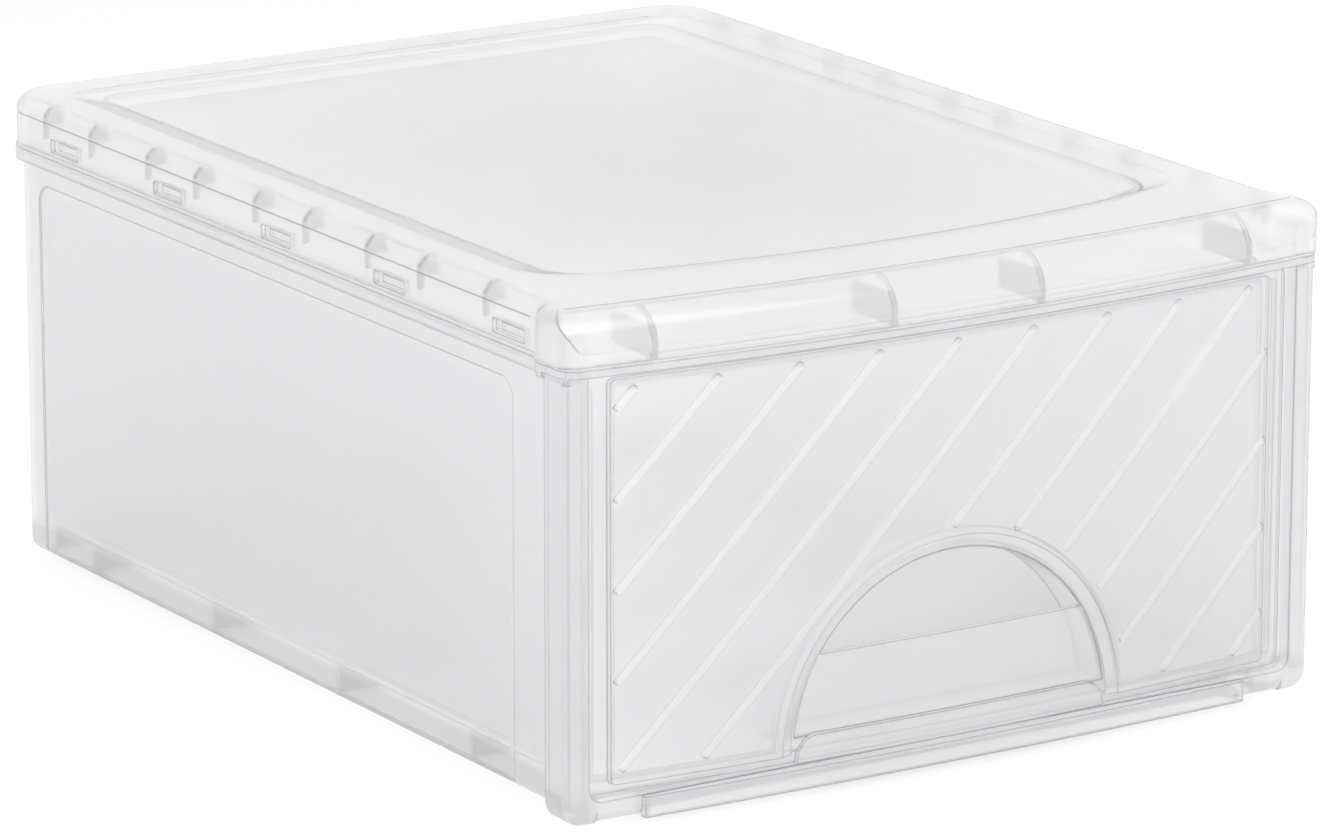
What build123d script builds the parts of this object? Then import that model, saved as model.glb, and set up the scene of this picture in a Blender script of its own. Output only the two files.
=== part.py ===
from build123d import *
import math
import os

# Stackable clear storage box: an open-fronted housing, a clip-on lid and a pull-out drawer.
# Millimetres. Origin under the middle of the box, X to the right, -Y to the front, +Z up.

os.makedirs("parts", exist_ok=True)

# ---- overall -------------------------------------------------------------------------
HEIGHT = 170.0              # lid border above the table
HALF_DEPTH = 200.9          # front skirt and rear rim from the middle of the box
BOW = 4.3e-4                # front edge of lid and rim: y = front + BOW * x^2
OVERSHOOT = 10.0            # how far cutting solids reach past the faces they cut
EMBED = 0.5                 # how far a feature is sunk into the one that carries it
NEAR = 1e-3                 # tolerance for picking edges and corners by position

# ---- lid -----------------------------------------------------------------------------
LID_SIDE = 145.4            # skirt face of the long sides
LID_BAND = 149.5            # skirt face where the lid widens over the front posts
LID_BACK = 200.4
LID_WALL = 1.8
SKIRT_BOTTOM = 153.0
TOP_ROUND = 5.3
FRONT_ROUND = 14.0          # wide rounding along the top of the front
FRONT_ROUND_REACH = 12.0    # it meets the border this far behind the skirt
FRONT_ROUND_LIFT = 0.05     # its arc starts this far outside the skirt
BAND_START = -167.5         # widening of lid and rim, along the side
BAND_END = -173.0
BAND_ROUND = 4.0
LID_REAR_RADIUS = 19.0
LID_FRONT_RADIUS = 7.5
RECESS_DEPTH = 4.8
RECESS_EDGE_DROP = 2.0      # the border falls this much towards the edge of the recess
RECESS_EDGE = (119.0, -151.8, 178.0)     # half width, front and back of that edge
RECESS_APPROACH = (129.5, -158.2, 181.5)  # where the border starts to fall
RECESS_BOW = 1.04e-3
RECESS_SLOPE = 7.2          # plan width of the slope down to the recess floor
RECESS_REAR_RADIUS = 12.0
RECESS_FRONT_RADIUS = 24.0
RECESS_EASE = 3.0           # rounding at the top and the foot of the slope
RECESS_UNDER = 0.5          # outward shift of the same lines under the lid
RIB = 1.6                   # thickness of every stiffening rib
SIDE_RIB_REACH = 136.4      # inner end of the ribs under the side borders
SIDE_RIB_DROP = 158.0
RIB_CLEAR = 0.5             # gap between the ribs and the lip of the housing
CLIP_PITCH = 75.3
CLIP_COUNT = 5
CLIP_RIB_OFFSET = 17.0
WINDOW_LENGTH = 20.0
WINDOW_BOTTOM = 154.6
WINDOW_TOP = 159.2
WINDOW_ROUND = 0.8
FRONT_RIB_X = (29.0, 116.8)
FRONT_RIB_BACK = (-174.6, -167.8)
FRONT_RIB_ROUND = 4.0
BEAD_HALF = 119.6           # snap bead inside the front skirt, split at the inner ribs
BEAD_GAP = 2.4
BEAD_DEPTH = 1.2
BEAD_HEIGHT = 1.8

# ---- housing -------------------------------------------------------------------------
WALL_X = 139.0              # outer face of the side walls
WALL_BACK = 196.5
WALL = 2.2
WALL_REAR_RADIUS = 4.0
BASE_ROUND = 4.8
FLOOR_UNDER = 10.0
FLOOR_TOP = 12.0
FOOT = 8.0                  # width of the standing rim round the underside
BAY_RADIUS = 3.0
FLOOR_RIB_FIRST = -105.2
FLOOR_RIB_PITCH = 87.4
FLOOR_RIB_COUNT = 4
RIM_TOP = 152.0
RIM_PLATE = 1.8
RIM_SIDE = 146.0
RIM_BAND = 148.8
RIM_FRONT = -200.4
RIM_REAR_RADIUS = 19.5
RIM_FRONT_RADIUS = 6.5
RIM_HEM = 1.6               # thickness of the down-turned edge of the rim
RIM_HEM_BOTTOM = 147.3
RAIL_BOTTOM = 149.3         # rim over the drawer front
RAIL_BACK = -183.5
LIP_OUTER = 141.5
LIP_INNER = 139.5
LIP_TOP = 162.0
LIP_REAR_RADIUS = 15.0
LUG_LENGTH = 15.5
LUG_BOTTOM = 155.2
LUG_TOP = 158.7
LUG_REACH = 143.2
LUG_NOSE = 2.7              # upright part of the lug below its lead-in slope
POST_X = 148.0
POST_FRONT = -189.5
POST_REAR = -176.3
POST_WALL = 2.0
POST_CORNER = 3.0
POST_FOOT_ROUND = 7.0
POST_HOLLOW_ROUND = 1.0
POST_TOP = 162.5
POST_CAP_X = 147.2          # post top, inside the lid
POST_CAP_FRONT = -187.5
POST_CAP_REAR = -168.5
POST_CAP_SLANT = -174.7     # start of the slant beside the widening of the lid
POST_CAP_WALL = 1.6
OPENING_X = 139.5
OPENING_BOTTOM = 7.5
OPENING_ROUND = 5.0
FLOOR_FRONT = -181.5
SILL_HALF = 119.4
SILL_FRONT = -194.3
SILL_BOW = 2.0e-4
SILL_TOP = 7.1
SILL_WALL = 2.0
PANEL_STEP = 0.6            # sharp step round the inset panels of side and rear walls
PANEL_STEP_WIDTH = 0.3
PANEL_DEPTH = 1.1
PANEL_SLOPE = 4.5
PANEL_TOP = 138.0
PANEL_FRONT = -142.3
PANEL_REAR = 182.7
PANEL_RADIUS = 7.0
REAR_PANEL_HALF = 122.0

# ---- drawer --------------------------------------------------------------------------
FACE_FRONT = -193.5         # middle of the raised front panel
FACE_BOW = 3.7e-4
FACE_STEP = 2.2             # raised panel in front of the flange round it
FACE_WALL = 2.0
FLANGE_X = 138.8
FLANGE_BOTTOM = 8.5
FLANGE_TOP = 148.5
FLANGE_ROUND = 4.0
FACE_X = 130.0
FACE_BOTTOM = 11.5
FACE_TOP = 146.4
FACE_ROUND = 2.0
TRAY_X = 136.1
TRAY_BOTTOM = 12.6
TRAY_TOP = 143.0
TRAY_BACK = 191.0
TRAY_WALL = 1.8
TRAY_RADIUS = 6.0
TRAY_EDGE = 3.0
PULL_Z = 10.0               # centre of the half-round cup pull
PULL_OUTER = 67.0
PULL_INNER = 62.0
RING_WIDTH = 4.5            # sloping border round the cup
RING_DROP = 2.0
PULL_DEPTH = 18.0
PULL_FLOOR = 17.0
PLATE_TOP = 44.0            # finger plate closing the lower part of the cup
PLATE_LIP_TOP = 17.5
PLATE_LIP_REACH = 1.6
PLATE_LIP_HALF = 61.0
PLATE_LIP_ROUND = 8.0
RIDGE_PITCH = 30.3
RIDGE_MIDDLE = 82.4         # rise z - x of the middle ridge
RIDGE_EACH_SIDE = 6
RIDGE_BROKEN = -2           # ridge left smooth over part of its length
RIDGE_BREAK = (87.4, 108.4)
RIDGE_RADIUS = 1.7
RIDGE_SINK = 0.9            # ridge axis behind the face
RIDGE_TOP = 142.5
RIDGE_FOOT = 16.5
RIDGE_SIDE = 128.0
RIDGE_CLEAR = 70.7          # ridges stop this far from the centre of the cup


def bowed(x, front, bow):
    """Y of a front edge that curves gently back towards the corners."""
    return front + bow * x * x


def bowed_face(half, front, bow, back):
    """Plan sketch between a bowed front edge and a straight back edge."""
    end = bowed(half, front, bow)
    with BuildLine() as outline:
        ThreePointArc((-half, end), (0, front), (half, end))
        Polyline((half, end), (half, back), (-half, back), (-half, end))
    make_face(outline.edges())


def bowed_slice(half, front, bow, thickness):
    """Plan sketch of a plate of even thickness that follows the bow."""
    end = bowed(half, front, bow)
    with BuildLine() as outline:
        ThreePointArc((-half, end), (0, front), (half, end))
        Line((half, end), (half, end + thickness))
        ThreePointArc((half, end + thickness), (0, front + thickness), (-half, end + thickness))
        Line((-half, end + thickness), (-half, end))
    make_face(outline.edges())


def rim_plan(side, band, front, back, rear_radius, front_radius):
    """Outline shared by lid and rim: straight sides, wider round the posts, bowed front."""
    end = bowed(band, front, BOW)
    with BuildLine() as outline:
        ThreePointArc((-band, end), (0, front), (band, end))
        Polyline(
            (band, end),
            (band, BAND_END),
            (side, BAND_START),
            (side, back),
            (-side, back),
            (-side, BAND_START),
            (-band, BAND_END),
            (-band, end),
        )
    make_face(outline.edges())
    fillet(vertices().group_by(Axis.Y)[-1], rear_radius)
    fillet([v for v in vertices() if abs(v.Y - end) < NEAR], front_radius)
    fillet([v for v in vertices() if BAND_END - NEAR < v.Y < BAND_START + NEAR], BAND_ROUND)


def lid_plan(inset=0.0):
    rim_plan(LID_SIDE, LID_BAND, -HALF_DEPTH, LID_BACK, LID_REAR_RADIUS, LID_FRONT_RADIUS)
    if inset:
        offset(amount=-inset, mode=Mode.REPLACE)


def recess_plan(outline, grow):
    """Outline of the lid recess (half width, front, back), grown by the given amount."""
    half, front, back = outline
    bowed_face(half + grow, front - grow, RECESS_BOW, back + grow)
    fillet(vertices().group_by(Axis.Y)[-1], RECESS_REAR_RADIUS + grow)
    end = bowed(half + grow, front - grow, RECESS_BOW)
    fillet([v for v in vertices() if abs(v.Y - end) < NEAR], RECESS_FRONT_RADIUS + grow)


def recess_solid(top, under):
    """Cut the recess: shallow fall of the border, then the slope to the floor."""
    with BuildSketch(Plane.XY.offset(top)) as approach:
        recess_plan(RECESS_APPROACH, 0.0)
    with BuildSketch(Plane.XY.offset(top - RECESS_EDGE_DROP)) as edge:
        recess_plan(RECESS_EDGE, under)
    with BuildSketch(Plane.XY.offset(top - RECESS_DEPTH)) as floor:
        recess_plan(RECESS_EDGE, under - RECESS_SLOPE)
    loft([approach.sketch, edge.sketch, floor.sketch], ruled=True, mode=Mode.SUBTRACT)


def clip_stations():
    first = -CLIP_PITCH * (CLIP_COUNT - 1) / 2
    return [first + CLIP_PITCH * i for i in range(CLIP_COUNT)]


# ---- lid -----------------------------------------------------------------------------
def front_ring(inset):
    """Cut away what lies outside the wide front rounding; inset for the hollow below."""
    sag = BOW * LID_BAND**2
    bow_centre = -HALF_DEPTH + (LID_BAND**2 + sag**2) / (2 * sag)
    middle_y = -HALF_DEPTH + FRONT_ROUND - FRONT_ROUND_LIFT
    middle_z = HEIGHT - math.sqrt(FRONT_ROUND**2 - (FRONT_ROUND - FRONT_ROUND_REACH) ** 2)
    radius = FRONT_ROUND - inset
    top = HEIGHT - inset
    angle = math.asin((top - middle_z) / radius)
    arc_points = [
        (middle_y - radius * math.cos(a), middle_z + radius * math.sin(a))
        for a in (0.0, angle / 2, angle)
    ]
    with BuildSketch(Plane.YZ) as section:
        with BuildLine():
            ThreePointArc(*arc_points)
            Polyline(
                arc_points[-1],
                (arc_points[-1][0], HEIGHT + OVERSHOOT),
                (-HALF_DEPTH - OVERSHOOT, HEIGHT + OVERSHOOT),
                (-HALF_DEPTH - OVERSHOOT, middle_z),
                arc_points[0],
            )
        make_face()
    revolve(section.sketch, axis=Axis((0, bow_centre, 0), (0, 0, 1)), mode=Mode.SUBTRACT)


def level_loop(part, level):
    """Edges of the recess that lie flat at one height."""
    flat = [
        e for e in part.edges()
        if abs(e.bounding_box().min.Z - level) < NEAR and abs(e.bounding_box().max.Z - level) < NEAR
    ]
    reach = RECESS_EDGE[0] + NEAR
    return [e for e in flat if max(abs(e.bounding_box().min.X), abs(e.bounding_box().max.X)) < reach]


with BuildPart() as lid_cavity:
    with BuildSketch(Plane.XY.offset(SKIRT_BOTTOM - OVERSHOOT)):
        lid_plan(LID_WALL)
    extrude(amount=HEIGHT - LID_WALL - SKIRT_BOTTOM + OVERSHOOT)
    fillet(lid_cavity.faces().sort_by(Axis.Z)[-1].edges(), TOP_ROUND - LID_WALL)
    recess_solid(HEIGHT - LID_WALL, RECESS_UNDER)
    front_ring(LID_WALL)

with BuildPart() as lid:
    with BuildSketch(Plane.XY.offset(SKIRT_BOTTOM)):
        lid_plan()
    extrude(amount=HEIGHT - SKIRT_BOTTOM)
    fillet(lid.faces().sort_by(Axis.Z)[-1].edges(), TOP_ROUND)
    recess_solid(HEIGHT, 0.0)
    fillet(level_loop(lid, HEIGHT - RECESS_DEPTH), RECESS_EASE)
    add(lid_cavity.part, mode=Mode.SUBTRACT)

    # ribs under the side borders, either side of every snap window
    for y in clip_stations():
        for side in (-CLIP_RIB_OFFSET, CLIP_RIB_OFFSET):
            with BuildSketch(Plane.XZ.offset(-(y + side) + RIB / 2)):
                with BuildLine():
                    Polyline(
                        (SIDE_RIB_REACH, HEIGHT - LID_WALL + EMBED),
                        (SIDE_RIB_REACH, LIP_TOP + RIB_CLEAR),
                        (LIP_OUTER + RIB_CLEAR, LIP_TOP + RIB_CLEAR),
                        (LIP_OUTER + RIB_CLEAR, SIDE_RIB_DROP),
                        (LID_SIDE - LID_WALL + EMBED, SIDE_RIB_DROP),
                        (LID_SIDE - LID_WALL + EMBED, HEIGHT - TOP_ROUND),
                        (LID_SIDE - TOP_ROUND + EMBED, HEIGHT - LID_WALL + EMBED),
                        close=True,
                    )
                make_face()
                mirror(about=Plane.YZ)
            extrude(amount=-RIB)

    # deeper ribs behind the front skirt
    for x, back in zip(FRONT_RIB_X, FRONT_RIB_BACK):
        front = bowed(x, -HALF_DEPTH, BOW) + LID_WALL - EMBED
        with BuildSketch(Plane.YZ.offset(x - RIB / 2)) as rib_face:
            with BuildLine():
                Polyline(
                    (front, SKIRT_BOTTOM),
                    (back, SKIRT_BOTTOM),
                    (back, HEIGHT - LID_WALL + EMBED),
                    (front + TOP_ROUND, HEIGHT - LID_WALL + EMBED),
                    (front, HEIGHT - TOP_ROUND),
                    close=True,
                )
            make_face()
            fillet(rib_face.vertices().group_by(Axis.Y)[-1].sort_by(Axis.Z)[0], FRONT_RIB_ROUND)
        front_rib = extrude(amount=RIB)
        mirror(front_rib, about=Plane.YZ)

    # snap bead along the lower edge of the front skirt
    with BuildSketch(Plane.XY.offset(SKIRT_BOTTOM)):
        bowed_slice(BEAD_HALF, -HALF_DEPTH + LID_WALL - EMBED, BOW, BEAD_DEPTH + EMBED)
        for x in (-FRONT_RIB_X[0], FRONT_RIB_X[0]):
            with Locations((x, -HALF_DEPTH)):
                Rectangle(BEAD_GAP, 4 * OVERSHOOT, mode=Mode.SUBTRACT)
    extrude(amount=BEAD_HEIGHT)

    # windows for the snap lugs
    window_height = WINDOW_TOP - WINDOW_BOTTOM
    for y in clip_stations():
        with BuildSketch(Plane.YZ.offset(-LID_SIDE - OVERSHOOT)):
            with Locations((y, WINDOW_BOTTOM + window_height / 2)):
                RectangleRounded(WINDOW_LENGTH, window_height, WINDOW_ROUND)
        extrude(amount=2 * (LID_SIDE + OVERSHOOT), mode=Mode.SUBTRACT)

    front_ring(0.0)

lid.part.label = "lid"
export_step(lid.part, "parts/lid.step")


# ---- housing -------------------------------------------------------------------------
def rim_outline():
    rim_plan(RIM_SIDE, RIM_BAND, RIM_FRONT, HALF_DEPTH, RIM_REAR_RADIUS, RIM_FRONT_RADIUS)


def wall_plan(half, back, radius, front):
    """Plan of a box that is square in front and rounded at the two rear corners."""
    middle = (back + front) / 2
    with Locations((0, middle)):
        corners = Rectangle(2 * half, back - front).vertices()
    fillet(corners.group_by(Axis.Y)[-1], radius)


PANEL_PROFILE = (           # depth below the wall face, distance in from the panel outline
    (-PANEL_STEP, -PANEL_STEP_WIDTH),
    (PANEL_STEP, PANEL_STEP_WIDTH),
    (PANEL_DEPTH, PANEL_SLOPE),
)
with BuildPart() as side_panel_tool:
    for depth, shrink in PANEL_PROFILE:
        with BuildSketch(Plane.YZ.offset(WALL_X - depth)):
            with Locations(((PANEL_FRONT + PANEL_REAR) / 2, PANEL_TOP / 2 - OVERSHOOT)):
                tool_corners = Rectangle(
                    PANEL_REAR - PANEL_FRONT - 2 * shrink,
                    PANEL_TOP + 2 * OVERSHOOT - 2 * shrink,
                ).vertices()
            fillet(tool_corners.group_by(Axis.Y)[-1], PANEL_RADIUS - shrink)
    loft(ruled=True)

with BuildPart() as rear_panel_tool:
    for depth, shrink in PANEL_PROFILE:
        with BuildSketch(Plane.XZ.offset(-(WALL_BACK - depth))):
            with Locations((0, PANEL_TOP / 2 - OVERSHOOT)):
                tool_corners = Rectangle(
                    2 * REAR_PANEL_HALF - 2 * shrink,
                    PANEL_TOP + 2 * OVERSHOOT - 2 * shrink,
                ).vertices()
            fillet(tool_corners.group_by(Axis.Y)[-1], PANEL_RADIUS - shrink)
    loft(ruled=True)

with BuildPart() as housing:
    # outer walls with a rounded standing edge
    with BuildSketch():
        wall_plan(WALL_X, WALL_BACK, WALL_REAR_RADIUS, POST_FRONT)
    extrude(amount=RIM_TOP)
    fillet(housing.faces().sort_by(Axis.Z)[0].edges(), BASE_ROUND)

    # front posts, wider than the walls
    with BuildSketch(Plane.XZ.offset(-POST_FRONT)) as post_face:
        post_width = POST_X - WALL_X + WALL
        with Locations((POST_X - post_width / 2, RIM_TOP / 2)):
            Rectangle(post_width, RIM_TOP)
        foot_corner = post_face.vertices().group_by(Axis.X)[-1].sort_by(Axis.Y)[0]
        fillet(foot_corner, POST_FOOT_ROUND)
        mirror(about=Plane.YZ)
    extrude(amount=POST_FRONT - POST_REAR)
    post_edges = [
        e for e in housing.edges().filter_by(Axis.Z)
        if abs(abs(e.center().X) - POST_X) < NEAR and abs(e.center().Y - POST_FRONT) < NEAR
    ]
    fillet(post_edges, POST_CORNER)

    # rim: flat plate with a down-turned hem, higher over the drawer front
    with BuildSketch(Plane.XY.offset(RIM_HEM_BOTTOM)):
        rim_outline()
        offset(amount=-RIM_HEM, mode=Mode.SUBTRACT)
    extrude(amount=RIM_TOP - RIM_HEM_BOTTOM)
    with BuildSketch(Plane.XY.offset(RIM_TOP - RIM_PLATE)):
        rim_outline()
    extrude(amount=RIM_PLATE)
    with BuildSketch(Plane.XY.offset(RAIL_BOTTOM)):
        rim_outline()
        with Locations((0, RAIL_BACK + HALF_DEPTH)):
            Rectangle(4 * HALF_DEPTH, 2 * HALF_DEPTH, mode=Mode.SUBTRACT)
    extrude(amount=RIM_TOP - RAIL_BOTTOM)
    with BuildSketch(Plane.XY.offset(RIM_HEM_BOTTOM - EMBED)):
        with Locations((0, POST_REAR - HALF_DEPTH)):
            Rectangle(4 * HALF_DEPTH, 2 * HALF_DEPTH)
        with Locations((0, POST_FRONT + HALF_DEPTH)):
            Rectangle(2 * POST_X, 2 * HALF_DEPTH, mode=Mode.SUBTRACT)
    extrude(amount=RAIL_BOTTOM - RIM_HEM_BOTTOM + EMBED, mode=Mode.SUBTRACT)

    # lip that the lid slides over, on the sides and the rear
    with BuildSketch(Plane.XY.offset(RIM_TOP - RIM_PLATE)):
        wall_plan(LIP_OUTER, WALL_BACK, LIP_REAR_RADIUS, POST_CAP_REAR)
    extrude(amount=LIP_TOP - RIM_TOP + RIM_PLATE)
    with BuildSketch(Plane.XY.offset(RIM_TOP)):
        wall_plan(
            LIP_INNER,
            WALL_BACK - LIP_OUTER + LIP_INNER,
            LIP_REAR_RADIUS - LIP_OUTER + LIP_INNER,
            POST_CAP_REAR - OVERSHOOT,
        )
    extrude(amount=OVERSHOOT + LIP_TOP - RIM_TOP, mode=Mode.SUBTRACT)

    # post tops that reach up inside the lid
    with BuildSketch(Plane.XY.offset(RIM_TOP - RIM_PLATE)) as cap_plan:
        with BuildLine():
            Polyline(
                (LIP_INNER, POST_CAP_FRONT),
                (POST_CAP_X, POST_CAP_FRONT),
                (POST_CAP_X, POST_CAP_SLANT),
                (LIP_OUTER + 2 * EMBED, POST_CAP_REAR),
                (LIP_INNER, POST_CAP_REAR),
                close=True,
            )
        make_face()
        fillet(cap_plan.vertices().group_by(Axis.X)[-1].sort_by(Axis.Y)[0], POST_CORNER)
        mirror(about=Plane.YZ)
    extrude(amount=POST_TOP - RIM_TOP + RIM_PLATE)

    # inside of the housing
    with BuildSketch(Plane.XY.offset(FLOOR_TOP)):
        wall_plan(WALL_X - WALL, WALL_BACK - WALL, WALL_REAR_RADIUS - WALL, FLOOR_FRONT)
    extrude(amount=RIM_TOP, mode=Mode.SUBTRACT)
    with BuildSketch(Plane.XZ.offset(-FLOOR_FRONT)) as opening:
        opening_height = RAIL_BOTTOM - OPENING_BOTTOM
        with Locations((0, OPENING_BOTTOM + opening_height / 2)):
            Rectangle(2 * OPENING_X, opening_height)
        fillet(opening.vertices().group_by(Axis.Y)[0], OPENING_ROUND)
    extrude(amount=FLOOR_FRONT + HALF_DEPTH + OVERSHOOT, mode=Mode.SUBTRACT)

    # hollow of each post, open to the rear
    with BuildSketch(Plane.XZ.offset(-(POST_FRONT + POST_WALL))) as post_hollow:
        hollow_width = POST_X - WALL_X - 2 * POST_WALL
        hollow_height = RIM_HEM_BOTTOM - POST_FOOT_ROUND
        with Locations(((POST_X + WALL_X) / 2, POST_FOOT_ROUND + hollow_height / 2)):
            RectangleRounded(hollow_width, hollow_height, POST_HOLLOW_ROUND)
        mirror(about=Plane.YZ)
    extrude(amount=POST_FRONT - POST_REAR, mode=Mode.SUBTRACT)
    cap_low = (LIP_INNER + POST_CAP_WALL, POST_CAP_FRONT + POST_CAP_WALL)
    cap_high = (POST_CAP_X - POST_CAP_WALL, POST_CAP_SLANT - POST_CAP_WALL / 2)
    with BuildSketch(Plane.XY.offset(RIM_HEM_BOTTOM - 2 * POST_HOLLOW_ROUND)):
        with Locations(((cap_low[0] + cap_high[0]) / 2, (cap_low[1] + cap_high[1]) / 2)):
            Rectangle(cap_high[0] - cap_low[0], cap_high[1] - cap_low[1])
        mirror(about=Plane.YZ)
    extrude(
        amount=POST_TOP - POST_CAP_WALL - RIM_HEM_BOTTOM + 2 * POST_HOLLOW_ROUND,
        mode=Mode.SUBTRACT,
    )

    # sill below the drawer front
    with BuildSketch():
        bowed_face(SILL_HALF, SILL_FRONT, SILL_BOW, POST_FRONT + 2 * EMBED)
    extrude(amount=SILL_TOP)

    # hollow underside: standing rim, cross ribs and the hollow of the sill
    with BuildSketch():
        wall_plan(WALL_X - FOOT, WALL_BACK - FOOT, BAY_RADIUS, FLOOR_FRONT + WALL)
        for i in range(FLOOR_RIB_COUNT):
            with Locations((0, FLOOR_RIB_FIRST + FLOOR_RIB_PITCH * i)):
                Rectangle(2 * WALL_X, RIB, mode=Mode.SUBTRACT)
    extrude(amount=FLOOR_UNDER, mode=Mode.SUBTRACT)
    with BuildSketch():
        bowed_face(SILL_HALF - SILL_WALL, SILL_FRONT + SILL_WALL, SILL_BOW, FLOOR_FRONT)
    extrude(amount=SILL_TOP - SILL_WALL, mode=Mode.SUBTRACT)

    # shallow inset panels
    add(side_panel_tool.part, mode=Mode.SUBTRACT)
    add(mirror(side_panel_tool.part, about=Plane.YZ, mode=Mode.PRIVATE), mode=Mode.SUBTRACT)
    add(rear_panel_tool.part, mode=Mode.SUBTRACT)

    # snap lugs behind the windows of the lid
    for y in clip_stations():
        with BuildSketch(Plane.XZ.offset(-y + LUG_LENGTH / 2)):
            with BuildLine():
                Polyline(
                    (LIP_OUTER - EMBED, LUG_BOTTOM),
                    (LUG_REACH, LUG_BOTTOM),
                    (LUG_REACH, LUG_BOTTOM + LUG_NOSE),
                    (LIP_OUTER, LUG_TOP),
                    (LIP_OUTER - EMBED, LUG_TOP),
                    close=True,
                )
            make_face()
            mirror(about=Plane.YZ)
        extrude(amount=-LUG_LENGTH)

housing.part.label = "housing"
export_step(housing.part, "parts/housing.step")


# ---- drawer --------------------------------------------------------------------------
def ridge_span(rise):
    """X range of the diagonal ridge z = x + rise, clear of the panel edge and the cup."""
    low = max(-RIDGE_SIDE, RIDGE_FOOT - rise)
    high = min(RIDGE_SIDE, RIDGE_TOP - rise)
    shift = rise - PULL_Z
    reach = 2 * RIDGE_CLEAR**2 - shift**2
    if reach > 0:
        low = max(low, (math.sqrt(reach) - shift) / 2)
    return low, high


def ridge_spans():
    """Start, end and rise of every ridge; one of them is broken in the middle."""
    spans = []
    for i in range(-RIDGE_EACH_SIDE, RIDGE_EACH_SIDE + 1):
        rise = RIDGE_MIDDLE + RIDGE_PITCH * i
        low, high = ridge_span(rise)
        if i == RIDGE_BROKEN:
            spans.append((low, RIDGE_BREAK[0], rise))
            spans.append((RIDGE_BREAK[1], high, rise))
        else:
            spans.append((low, high, rise))
    return spans


def upright_plate(half, bottom, top, radius):
    """Front-view outline of a plate, drawn in the X-Z plane."""
    with Locations((0, (bottom + top) / 2)):
        RectangleRounded(2 * half, top - bottom, radius)


def bowed_layer(depth, thickness):
    """Cut the part down to one bowed layer that starts the given depth behind the face."""
    with BuildSketch() as layer:
        bowed_slice(FLANGE_X + OVERSHOOT, FACE_FRONT + depth, FACE_BOW, thickness)
    extrude(layer.sketch, amount=HEIGHT, mode=Mode.INTERSECT)


front_plane = Plane.XZ.offset(HALF_DEPTH + OVERSHOOT)
through = -HALF_DEPTH / 2   # from there well past the drawer front
with BuildPart() as flange:
    with BuildSketch(front_plane):
        upright_plate(FLANGE_X, FLANGE_BOTTOM, FLANGE_TOP, FLANGE_ROUND)
    extrude(amount=through)
    bowed_layer(FACE_STEP, FACE_WALL)

with BuildPart() as raised_panel:
    with BuildSketch(front_plane):
        upright_plate(FACE_X, FACE_BOTTOM, FACE_TOP, FACE_ROUND)
        with Locations((0, PULL_Z)):
            Circle(PULL_OUTER - RING_WIDTH, mode=Mode.SUBTRACT)
    extrude(amount=through)
    bowed_layer(0.0, FACE_STEP + FACE_WALL)
    arches = [
        e for e in raised_panel.edges().filter_by(GeomType.BSPLINE)
        if e.length > math.pi * PULL_INNER / 2
    ]
    chamfer(
        min(arches, key=lambda e: e.center().Y),
        length=RING_WIDTH,
        length2=RING_DROP,
        reference=raised_panel.faces().sort_by(Axis.Y)[0],
    )

with BuildPart() as panel_hollow:
    with BuildSketch(front_plane):
        upright_plate(
            FACE_X - FACE_WALL,
            TRAY_BOTTOM + TRAY_WALL,
            FACE_TOP - FACE_WALL,
            FACE_ROUND / 2,
        )
        with Locations((0, PULL_Z)):
            Circle(PULL_OUTER + FACE_WALL, mode=Mode.SUBTRACT)
    extrude(amount=through)
    bowed_layer(FACE_WALL, FACE_STEP + EMBED)

with BuildPart() as finger_plate:
    with BuildSketch(front_plane):
        with Locations((0, PULL_Z)):
            Circle(PULL_INNER)
        with Locations((0, PLATE_TOP + PULL_INNER)):
            Rectangle(4 * PULL_INNER, 2 * PULL_INNER, mode=Mode.SUBTRACT)
        with Locations((0, FLANGE_BOTTOM - 2 * PULL_INNER)):
            Rectangle(4 * PULL_INNER, 4 * PULL_INNER, mode=Mode.SUBTRACT)
    extrude(amount=through)
    bowed_layer(FACE_STEP, FACE_WALL)

with BuildPart() as plate_lip:
    with BuildSketch(front_plane):
        with Locations((0, PLATE_LIP_TOP / 2)):
            RectangleRounded(2 * PLATE_LIP_HALF, PLATE_LIP_TOP, PLATE_LIP_ROUND)
        with Locations((0, FLANGE_BOTTOM - OVERSHOOT)):
            Rectangle(4 * PLATE_LIP_HALF, 2 * OVERSHOOT, mode=Mode.SUBTRACT)
    extrude(amount=through)
    bowed_layer(FACE_STEP - PLATE_LIP_REACH, PLATE_LIP_REACH + FACE_WALL)

with BuildPart() as tray:
    tray_front = FACE_FRONT + FACE_STEP + FACE_WALL
    with BuildSketch(Plane.XY.offset(TRAY_BOTTOM)):
        bowed_face(TRAY_X, tray_front - 2 * EMBED, FACE_BOW, TRAY_BACK)
        fillet(vertices().group_by(Axis.Y)[-1], TRAY_RADIUS)
    extrude(amount=TRAY_TOP - TRAY_BOTTOM)
    fillet(tray.faces().sort_by(Axis.Z)[0].edges().sort_by(Axis.Y)[1:], TRAY_EDGE)
    with BuildSketch(Plane.XY.offset(TRAY_BOTTOM + TRAY_WALL)):
        bowed_face(TRAY_X - TRAY_WALL, tray_front, FACE_BOW, TRAY_BACK - TRAY_WALL)
        fillet(vertices().group_by(Axis.Y)[-1], TRAY_RADIUS - TRAY_WALL)
    extrude(amount=TRAY_TOP, mode=Mode.SUBTRACT)

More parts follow.
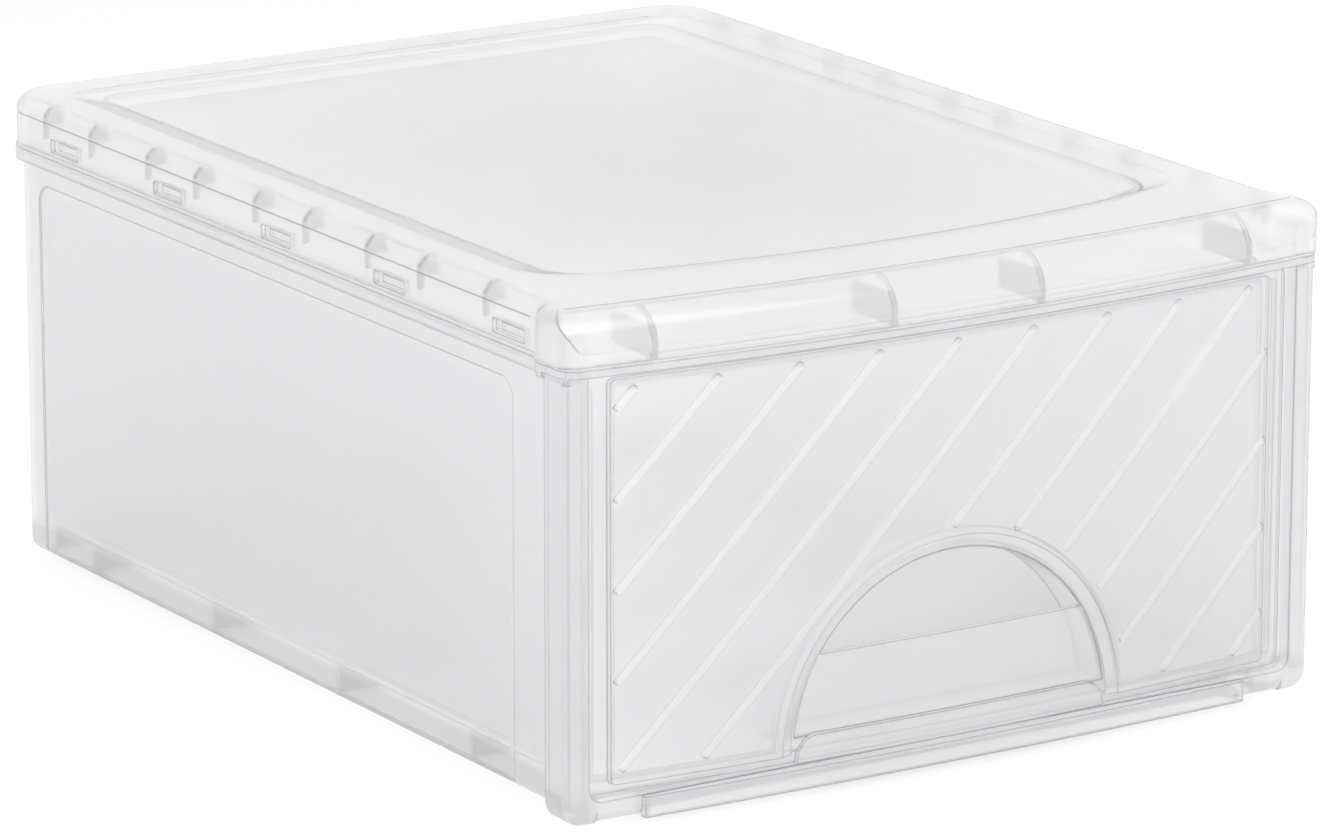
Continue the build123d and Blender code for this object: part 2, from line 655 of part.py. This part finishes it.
with BuildPart() as drawer:
    add(flange.part)
    add(raised_panel.part)
    add(tray.part)
    add(panel_hollow.part, mode=Mode.SUBTRACT)

    # half-round cup behind the face
    cup_back = FACE_FRONT + PULL_DEPTH
    with BuildSketch(Plane.XZ.offset(-cup_back - TRAY_WALL)):
        with Locations((0, PULL_Z)):
            Circle(PULL_INNER + FACE_WALL)
        with Locations((0, TRAY_BOTTOM - 2 * PULL_OUTER)):
            Rectangle(4 * PULL_OUTER, 4 * PULL_OUTER, mode=Mode.SUBTRACT)
    extrude(amount=PULL_DEPTH + TRAY_WALL - FACE_STEP - FACE_WALL / 2)
    with BuildSketch(Plane.XZ.offset(-cup_back)):
        with Locations((0, PULL_Z)):
            Circle(PULL_INNER)
        with Locations((0, PULL_FLOOR - 2 * PULL_OUTER)):
            Rectangle(4 * PULL_OUTER, 4 * PULL_OUTER, mode=Mode.SUBTRACT)
    extrude(amount=PULL_DEPTH + OVERSHOOT, mode=Mode.SUBTRACT)

    # finger plate over the lower part of the cup, with a thicker foot
    add(finger_plate.part)
    add(plate_lip.part)

    # diagonal ridges with rounded ends
    for start, end, rise in ridge_spans():
        middle = (start + end) / 2
        path_points = [
            (x, bowed(x, FACE_FRONT, FACE_BOW) + RIDGE_SINK, x + rise)
            for x in (start, middle, end)
        ]
        with BuildLine() as path:
            ThreePointArc(*path_points)
        with BuildSketch(Plane(origin=path_points[0], z_dir=path.line % 0)):
            Circle(RIDGE_RADIUS)
        sweep(path=path.line)
        with Locations(path_points[0], path_points[-1]):
            Sphere(RIDGE_RADIUS)

drawer.part.label = "drawer"
export_step(drawer.part, "parts/drawer.step")
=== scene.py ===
import math

import bpy
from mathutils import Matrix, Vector


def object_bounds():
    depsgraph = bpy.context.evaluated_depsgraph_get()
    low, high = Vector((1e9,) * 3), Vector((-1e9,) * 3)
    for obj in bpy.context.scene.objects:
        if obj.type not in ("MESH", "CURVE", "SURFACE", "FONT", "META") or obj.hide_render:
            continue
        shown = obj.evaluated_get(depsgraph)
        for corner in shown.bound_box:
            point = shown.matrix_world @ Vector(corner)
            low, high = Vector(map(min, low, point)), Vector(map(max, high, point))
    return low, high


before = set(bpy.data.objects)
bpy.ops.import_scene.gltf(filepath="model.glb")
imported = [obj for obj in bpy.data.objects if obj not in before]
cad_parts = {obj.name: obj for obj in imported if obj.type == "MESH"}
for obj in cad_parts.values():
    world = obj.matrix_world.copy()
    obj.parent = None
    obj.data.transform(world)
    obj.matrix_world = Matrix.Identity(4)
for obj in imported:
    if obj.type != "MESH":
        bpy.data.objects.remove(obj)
CAD_LOW, CAD_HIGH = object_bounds()

# ---- plastic ---------------------------------------------------------------
SHADE = 0.995           # share of light left by each face crossed on the way to something else
BEND = 1.12             # index of the see-through part: near things stay put, far ones blur
POLISH = 1.45           # index of the satin skin
HAZE = 0.28             # roughness of the see-through part
SKIN = 0.7              # weight of the satin skin
DENSITY = 4.0           # absorption per metre of plastic
DENSITY_TINT = (0.50, 0.50, 0.52)
EDGE_WIDTH = 0.0007     # how far from a crease the painted shade reaches
EDGE_SAMPLES = 4
# painted shade of creases and of the lid's painted lines
PAINTED_LINE_SHADE = (0.30, 0.30, 0.32)
EDGE_TURN = (0.9994, 0.975)    # cosine of the turn at which the painted crease shade starts and ends to show
GRAZING = (0.78, 0.90)  # range of grazing views over which painted shade darkens the plastic
GRAZING_SHADE_TONE = (0.62, 0.62, 0.64)
DRAWER_SHADE_RANGE = (-0.13, 0.13)     # painted shade: the drawer grows slightly darker from left to right
DRAWER_SHADE_SHARE = 0.93
CLOUD_SCALE = 9.0       # slow clouding left by the melt front
CLOUD_DETAIL = 3.0
CLOUD_DISTORTION = 0.4
CLOUD_TINT = 0.99       # darkest clouds of the see-through and of the milky share
CLOUD_WHITE = 0.995
CLOUD_MILK = (0.9, 1.1)
GRAIN_SCALE = 1400.0    # satin grain of the mould
GRAIN_DETAIL = 2.0
GRAIN_STRENGTH = 0.02
GRAIN_DEPTH = 0.0002
RUB_SCALE = 26.0        # rubbed, glossier patches
RUB_DETAIL = 5.0
RUB_RANGE = (-0.03, 0.04)
NOISE_MIDDLE = (0.3, 0.7)      # the part of a noise that is spread over a range
HALF = 0.5

# colours of the see-through share and of the milky share, milk and roughness; the housing's colours are
# dimmed as painted shade, the drawer's a little, and the lid's are the lightest
LID = {"colour": (1.0, 1.0, 1.0), "white": (0.985, 0.985, 0.99), "milk": 0.27, "gloss": 0.12}
# painted shade: the housing's colours are darker than the lid's
HOUSING = {"colour": (0.95, 0.95, 0.958), "white": (0.88, 0.88, 0.893), "milk": 0.28, "gloss": 0.12}
DRAWER = {"colour": (0.98, 0.98, 0.988), "white": (0.955, 0.955, 0.965), "milk": 0.28, "gloss": 0.14}

# ridges of the drawer front: rise of the middle one (z - x), their spacing, half width
RIDGE_RISE = 0.0824
RIDGE_PITCH = 0.0303
RIDGE_HALF = 0.0016
RIDGE_SOFT = (1.2, 0.8) # soft edge of a ridge, as shares of its half width
RIDGE_BACK = -0.185     # the drawer front lies in front of this y
RIDGE_HIGHLIGHT_MILK = 0.30       # extra milk on the ridges: a painted highlight that lightens them
CUP_CENTRE = 0.010      # height of the centre of the half-round cup pull
CUP_CLEAR = 0.0705      # no ridges within this radius
RIDGE_SIDE = 0.128      # nor beyond this half width
RIDGE_SPAN = (0.0165, 0.1425)  # nor outside these heights

# painted shade lines on the optical edges of the lid: foot of its side rounding, top of its front
# rounding
CREST_HEIGHT = (0.1640, 0.1646)
CREST_SIDE = 0.1448
CREST_STOP = -0.164     # the side line ends here, where the lid widens
CREST_BOW = 0.43        # bow of the front edge, per metre
CREST_FRONT = -0.2009
CREST_BACK = (0.0114, 0.0120)
CREST_END = 0.143
CREST_SHADE_WEIGHT = 0.8

# painted shade line along the edge of the recess in the lid
EDGE_SIDE = 0.1190
EDGE_REAR = 0.1780
EDGE_FRONT = -0.1585    # in front the border already falls away here
EDGE_BOW = 1.04
EDGE_REAR_RADIUS = 0.012
EDGE_FRONT_RADIUS = 0.024
EDGE_HALF = 0.0008
RECESS_SHADE_WEIGHT = (0.25, 0.85)     # at the sides and rear, and in front
EDGE_BLEND = (-0.030, -0.006)  # from one to the other, along y

# ribs under the lid: painted shade, as they gather less light than the thin shell above them
RIB_HALF = 0.0013
RIB_FRONT = (0.0290, 0.1168)   # half distances between the ribs behind the front skirt
RIB_DEEP = 0.0022              # the ribs start this far behind the skirt
RIB_BELOW = 0.1681
RIB_FRONT_BELOW = 0.1636       # the wide rounding of the front starts here
RIB_SIDE = (0.1355, 0.1436)    # reach of the ribs under the side borders
RIB_PITCH = 0.0753
RIB_OFFSET = 0.0170            # from the middle of the nearest snap window
RIB_SHADE = (0.62, 0.62, 0.63)

# painted shade on the standing rim and posts, which are thicker than the walls beside them
FOOT_HEIGHT = (0.0125, 0.0095)
FOOT_FRONT = -0.186            # the sill in front of this stays clear
RIM_AND_POST_SHADE = (0.72, 0.72, 0.73)
POST_SIDE = 0.1396             # the posts lie outside this half width
POST_REAR = -0.1758            # and in front of this y
POST_SHARE = 0.18              # how far the posts take on the painted shade of the foot

# ---- studio and camera -----------------------------------------------------
WORLD_COLOUR = (1.0, 1.0, 1.0)
WORLD_STRENGTH = 0.92
FLOOR_COLOUR = (0.88, 0.88, 0.88)
FLOOR_GLOW = 0.05
FLOOR_SIZE = 6.0
FLOOR_DROP = 0.0002     # below the object's underside
FLOOR_ROUGHNESS = 0.9
FLOOR_SHINE = 0.1
LAMPS = (               # name, place, aimed at, size, power
    ("key", (0.5, -1.4, 2.8), (0, 0, 0.08), (1.6, 1.6), 26.0),
    ("front", (-1.1, -2.1, 0.9), (0, -0.2, 0.08), (1.4, 1.0), 11.0),
)
CAMERA_PLACE = (-1.3636, -2.1653, 0.7595)
CAMERA_AZIMUTH = 32.357
CAMERA_ELEVATION = 15.019
CAMERA_LENS = 206.7
CAMERA_SENSOR = 36.0
CAMERA_REACH = 50.0


def make_camera():
    data = bpy.data.cameras.new("camera")
    data.sensor_width = CAMERA_SENSOR
    data.lens = CAMERA_LENS
    data.clip_end = CAMERA_REACH
    camera = bpy.data.objects.new("camera", data)
    camera.location = CAMERA_PLACE
    camera.rotation_euler = (
        math.radians(90.0 - CAMERA_ELEVATION),
        0.0,
        -math.radians(CAMERA_AZIMUTH),
    )
    bpy.context.collection.objects.link(camera)
    bpy.context.scene.camera = camera


def make_world():
    world = bpy.data.worlds.new("studio")
    world.use_nodes = True
    back = world.node_tree.nodes["Background"]
    back.inputs["Color"].default_value = (*WORLD_COLOUR, 1.0)
    back.inputs["Strength"].default_value = WORLD_STRENGTH
    bpy.context.scene.world = world


def make_lamp(name, place, target, size, power):
    data = bpy.data.lights.new(name, "AREA")
    data.shape = "RECTANGLE"
    data.size, data.size_y = size
    data.energy = power
    lamp = bpy.data.objects.new(name, data)
    lamp.location = place
    lamp.rotation_euler = (Vector(target) - Vector(place)).to_track_quat("-Z", "Y").to_euler()
    bpy.context.collection.objects.link(lamp)


def make_floor():
    mesh = bpy.data.meshes.new("floor")
    corners = [(x * FLOOR_SIZE, y * FLOOR_SIZE, 0) for x, y in ((-1, -1), (1, -1), (1, 1), (-1, 1))]
    mesh.from_pydata(corners, [], [(0, 1, 2, 3)])
    floor = bpy.data.objects.new("floor", mesh)
    floor.location.z = CAD_LOW[2] - FLOOR_DROP
    bpy.context.collection.objects.link(floor)
    material = bpy.data.materials.new("floor_paper")
    material.use_nodes = True
    shader = material.node_tree.nodes["Principled BSDF"]
    shader.inputs["Base Color"].default_value = (*FLOOR_COLOUR, 1.0)
    shader.inputs["Roughness"].default_value = FLOOR_ROUGHNESS
    shader.inputs["Specular IOR Level"].default_value = FLOOR_SHINE
    shader.inputs["Emission Color"].default_value = (1.0, 1.0, 1.0, 1.0)
    shader.inputs["Emission Strength"].default_value = FLOOR_GLOW
    mesh.materials.append(material)


# ---- node building ---------------------------------------------------------
class Graph:
    """Node tree of one material, with short calls for what its masks are made of."""

    def __init__(self, name):
        self.material = bpy.data.materials.new(name)
        self.material.use_nodes = True
        self.tree = self.material.node_tree
        self.place = self.node("ShaderNodeTexCoord").outputs["Object"]
        axes = self.node("ShaderNodeSeparateXYZ", Vector=self.place).outputs
        self.x, self.y, self.z = axes["X"], axes["Y"], axes["Z"]
        self.across = self.math("ABSOLUTE", self.x)

    def put(self, socket, value):
        if isinstance(value, bpy.types.NodeSocket):
            self.tree.links.new(value, socket)
        elif isinstance(value, tuple):
            socket.default_value = (*value, 1.0)
        else:
            socket.default_value = value

    def node(self, kind, **inputs):
        """New node; each keyword is an input, with underscores for the spaces in its name."""
        made = self.tree.nodes.new(kind)
        for name, value in inputs.items():
            self.put(made.inputs[name.replace("_", " ")], value)
        return made

    def math(self, operation, *values):
        step = self.node("ShaderNodeMath")
        step.operation = operation
        for slot, value in enumerate(values):
            self.put(step.inputs[slot], value)
        return step.outputs["Value"]

    def product(self, first, *others):
        for other in others:
            first = self.math("MULTIPLY", first, other)
        return first

    def mapped(self, value, source, target):
        """Value taken linearly, and clamped, from one range to another."""
        scale = self.node(
            "ShaderNodeMapRange",
            Value=value, From_Min=source[0], From_Max=source[1], To_Min=target[0], To_Max=target[1],
        )
        return scale.outputs["Result"]

    def mixed(self, factor, first, second):
        """Colour between two others; each is a socket or a plain colour."""
        mix = self.node("ShaderNodeMix")
        mix.data_type = "RGBA"
        colours = [socket for socket in mix.inputs if socket.type == "RGBA"]
        self.put(mix.inputs[0], factor)
        self.put(colours[0], first)
        self.put(colours[1], second)
        return next(socket for socket in mix.outputs if socket.type == "RGBA")

    def blended(self, factor, first, second):
        """Shader between two others."""
        mix = self.node("ShaderNodeMixShader", Fac=factor)
        self.put(mix.inputs[1], first)
        self.put(mix.inputs[2], second)
        return mix.outputs["Shader"]

    def noise(self, scale, detail, distortion=0.0):
        texture = self.node(
            "ShaderNodeTexNoise",
            Vector=self.place, Scale=scale, Detail=detail, Distortion=distortion,
        )
        return texture.outputs["Fac"]

    def between(self, value, limits):
        """1 where a value lies between two limits."""
        low = self.math("GREATER_THAN", value, limits[0])
        return self.product(low, self.math("LESS_THAN", value, limits[1]))

    def near(self, value, centre, reach):
        """1 where a value lies within reach of a centre."""
        off = self.math("ABSOLUTE", self.math("SUBTRACT", value, centre))
        return self.math("LESS_THAN", off, reach)

    def off_line(self, value, first, pitch):
        """Distance from the nearest of a row of evenly spaced lines."""
        start = self.math("SUBTRACT", value, first - pitch / 2)
        within = self.math("FLOORED_MODULO", start, pitch)
        return self.math("ABSOLUTE", self.math("SUBTRACT", within, pitch / 2))

    def bowed(self, front, bow):
        """How far a point lies behind a bowed front edge."""
        edge = self.math("ADD", self.math("MULTIPLY", self.math("POWER", self.across, 2.0), bow), front)
        return self.math("SUBTRACT", self.y, edge)


# ---- masks -----------------------------------------------------------------
def crease_shade_mask(graph):
    """1 beside a crease of the surface, 0 away from it; it sets where painted shade darkens the
    plastic.
    """
    soft = graph.node("ShaderNodeBevel", Radius=EDGE_WIDTH)
    soft.samples = EDGE_SAMPLES
    turn = graph.node("ShaderNodeVectorMath")
    turn.operation = "DOT_PRODUCT"
    graph.put(turn.inputs[0], soft.outputs["Normal"])
    graph.put(turn.inputs[1], graph.node("ShaderNodeNewGeometry").outputs["Normal"])
    return graph.mapped(turn.outputs["Value"], EDGE_TURN, (0.0, 1.0))


def ridge_highlight_mask(graph):
    """1 on the diagonal ridges of the drawer front, where a painted highlight lightens them."""
    off = graph.off_line(graph.math("SUBTRACT", graph.z, graph.x), RIDGE_RISE, RIDGE_PITCH)
    width = RIDGE_HALF * math.sqrt(2.0)
    above = graph.math("SUBTRACT", graph.z, CUP_CENTRE)
    radius = graph.math(
        "SQRT", graph.math("MULTIPLY_ADD", above, above, graph.math("POWER", graph.x, 2.0))
    )
    return graph.product(
        graph.mapped(off, [width * share for share in RIDGE_SOFT], (0.0, 1.0)),
        graph.math("LESS_THAN", graph.y, RIDGE_BACK),
        graph.math("GREATER_THAN", radius, CUP_CLEAR),
        graph.math("LESS_THAN", graph.across, RIDGE_SIDE),
        graph.between(graph.z, RIDGE_SPAN),
    )


def crest_shade_mask(graph):
    """Weight of the painted shade lines on the two optical edges of the lid's rounding."""
    side = graph.product(
        graph.between(graph.z, CREST_HEIGHT),
        graph.math("GREATER_THAN", graph.across, CREST_SIDE),
        graph.math("GREATER_THAN", graph.y, CREST_STOP),
    )
    front = graph.product(
        graph.between(graph.bowed(CREST_FRONT, CREST_BOW), CREST_BACK),
        graph.math("LESS_THAN", graph.across, CREST_END),
        graph.math("GREATER_THAN", graph.z, CREST_HEIGHT[1]),
    )
    return graph.product(graph.math("MAXIMUM", side, front), CREST_SHADE_WEIGHT)


def corner_distance(graph, side, end, radius):
    """Distance outside a rounded corner, from the distances outside its two straight sides."""
    squares = [
        graph.math("POWER", graph.math("MAXIMUM", graph.math("ADD", value, radius), 0.0), 2.0)
        for value in (side, end)
    ]
    return graph.math("SUBTRACT", graph.math("SQRT", graph.math("ADD", *squares)), radius)


def recess_shade_mask(graph):
    """Weight of the painted shade line along the edge of the recess in the lid."""
    side = graph.math("SUBTRACT", graph.across, EDGE_SIDE)
    rear = graph.math("SUBTRACT", graph.y, EDGE_REAR)
    ahead = graph.math("MULTIPLY", graph.bowed(EDGE_FRONT, EDGE_BOW), -1.0)
    outside = graph.math(
        "MAXIMUM",
        corner_distance(graph, side, rear, EDGE_REAR_RADIUS),
        corner_distance(graph, side, ahead, EDGE_FRONT_RADIUS),
    )
    weight = graph.mapped(ahead, EDGE_BLEND, RECESS_SHADE_WEIGHT)
    return graph.product(graph.near(outside, 0.0, EDGE_HALF), weight)


def rib_shade_mask(graph):
    """1 on the stiffening ribs inside the lid, where painted shade darkens them."""
    front = graph.product(
        graph.math("MAXIMUM", *[graph.near(graph.across, x, RIB_HALF) for x in RIB_FRONT]),
        graph.math("GREATER_THAN", graph.bowed(CREST_FRONT, CREST_BOW), RIB_DEEP),
        graph.math("LESS_THAN", graph.y, CREST_STOP),
        graph.math("LESS_THAN", graph.z, RIB_FRONT_BELOW),
    )
    side = graph.product(
        graph.near(graph.off_line(graph.y, 0.0, RIB_PITCH), RIB_OFFSET, RIB_HALF),
        graph.between(graph.across, RIB_SIDE),
        graph.math("LESS_THAN", graph.z, RIB_BELOW),
    )
    return graph.math("MAXIMUM", front, side)


def rim_and_post_shade_mask(graph):
    """1 on the standing rim of the housing, less on its front posts; it sets where painted shade
    darkens them.
    """
    foot = graph.product(
        graph.mapped(graph.z, FOOT_HEIGHT, (0.0, 1.0)),
        graph.math("GREATER_THAN", graph.y, FOOT_FRONT),
    )
    post = graph.product(
        graph.math("GREATER_THAN", graph.across, POST_SIDE),
        graph.math("LESS_THAN", graph.y, POST_REAR),
        POST_SHARE,
    )
    return graph.math("MAXIMUM", foot, post)


# ---- frosted clear polypropylene -------------------------------------------
def dimmed(colour, share):
    return tuple(value * share for value in colour)


def frosted(node, look):
    """See-through plastic with a milky share, fine surface grain, rubbed, glossier patches, painted
    shade and painted highlights.
    """
    graph = Graph(node + "_plastic")
    colours = [look["colour"], look["white"]]
    cloud = graph.noise(CLOUD_SCALE, CLOUD_DETAIL, CLOUD_DISTORTION)
    clouded = graph.mapped(cloud, NOISE_MIDDLE, (0.0, 1.0))
    tones = [
        graph.mixed(clouded, dimmed(colour, share), colour)
        for colour, share in zip(colours, (CLOUD_TINT, CLOUD_WHITE))
    ]
    milk = graph.mapped(cloud, NOISE_MIDDLE, [look["milk"] * share for share in CLOUD_MILK])

    # painted shade: creases, thick places and grazing faces are darkened, as if they gathered less
    # light than the faces beside them
    line_shade = crease_shade_mask(graph)
    if node == "drawer":
        # painted shade: the drawer darkens from left to right
        left_right_shade = graph.mapped(graph.x, DRAWER_SHADE_RANGE, (0.0, 1.0))
        tones = [graph.mixed(left_right_shade, tone, dimmed(c, DRAWER_SHADE_SHARE)) for tone, c in zip(tones, colours)]
        # painted highlight: the ridges get extra milk and no painted crease shade
        ridge_highlight = ridge_highlight_mask(graph)
        line_shade = graph.product(line_shade, graph.math("SUBTRACT", 1.0, ridge_highlight))
        milk = graph.math("MULTIPLY_ADD", ridge_highlight, RIDGE_HIGHLIGHT_MILK, milk)
    if node == "lid":
        # painted shade lines on the lid's rounding
        line_shade = graph.math("MAXIMUM", line_shade, crest_shade_mask(graph))
        # painted shade line along the edge of the lid's recess
        line_shade = graph.math("MAXIMUM", line_shade, recess_shade_mask(graph))
        # painted shade over the ribs under the lid
        rib_shade = rib_shade_mask(graph)
        tones = [graph.mixed(rib_shade, tone, RIB_SHADE) for tone in tones]
    if node == "housing":
        # painted shade on the standing rim and posts
        rim_and_post_shade = rim_and_post_shade_mask(graph)
        tones = [graph.mixed(rim_and_post_shade, tone, RIM_AND_POST_SHADE) for tone in tones]
    # painted shade on faces seen at a grazing angle
    facing = graph.node("ShaderNodeLayerWeight", Blend=HALF).outputs["Facing"]
    edge_on_shade = graph.mapped(facing, GRAZING, (0.0, 1.0))
    tones = [graph.mixed(edge_on_shade, tone, GRAZING_SHADE_TONE) for tone in tones]
    # painted shade along creases, the lid's rounding and the edge of its recess
    tint, white = [graph.mixed(line_shade, tone, PAINTED_LINE_SHADE) for tone in tones]

    # see-through share under a satin skin
    relief = graph.node(
        "ShaderNodeBump",
        Strength=GRAIN_STRENGTH, Distance=GRAIN_DEPTH, Height=graph.noise(GRAIN_SCALE, GRAIN_DETAIL),
    ).outputs["Normal"]
    gloss = graph.mapped(
        graph.noise(RUB_SCALE, RUB_DETAIL), NOISE_MIDDLE, [look["gloss"] + off for off in RUB_RANGE]
    )
    clear = graph.tree.nodes["Principled BSDF"]
    for name, value in {
        "Base Color": tint,
        "Roughness": HAZE,
        "IOR": BEND,
        "Transmission Weight": 1.0,
        "Normal": relief,
        "Coat Weight": SKIN,
        "Coat IOR": POLISH,
        "Coat Roughness": gloss,
        "Coat Normal": relief,
    }.items():
        graph.put(clear.inputs[name], value)

    # the milky share scatters light forwards and back
    milky = graph.blended(
        HALF,
        graph.node("ShaderNodeBsdfDiffuse", Color=white).outputs["BSDF"],
        graph.node("ShaderNodeBsdfTranslucent", Color=white).outputs["BSDF"],
    )
    body = graph.blended(milk, clear.outputs["BSDF"], milky)

    # light that only passes through on its way to something else isn't bent
    path = graph.node("ShaderNodeLightPath").outputs
    passing = graph.node("ShaderNodeBsdfTransparent", Color=(SHADE, SHADE, SHADE)).outputs["BSDF"]
    either = graph.math("MAXIMUM", path["Is Shadow Ray"], path["Is Diffuse Ray"])
    depth = graph.node("ShaderNodeVolumeAbsorption", Color=DENSITY_TINT, Density=DENSITY)
    output = graph.tree.nodes["Material Output"]
    graph.put(output.inputs["Surface"], graph.blended(either, body, passing))
    graph.put(output.inputs["Volume"], depth.outputs["Volume"])
    return graph.material


def dress(node, look):
    material = frosted(node, look)
    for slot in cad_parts[node].material_slots:
        slot.material = material


bpy.context.scene.view_settings.view_transform = "Standard"
make_camera()
make_world()
make_floor()
for lamp in LAMPS:
    make_lamp(*lamp)
dress("lid", LID)
dress("housing", HOUSING)
dress("drawer", DRAWER)
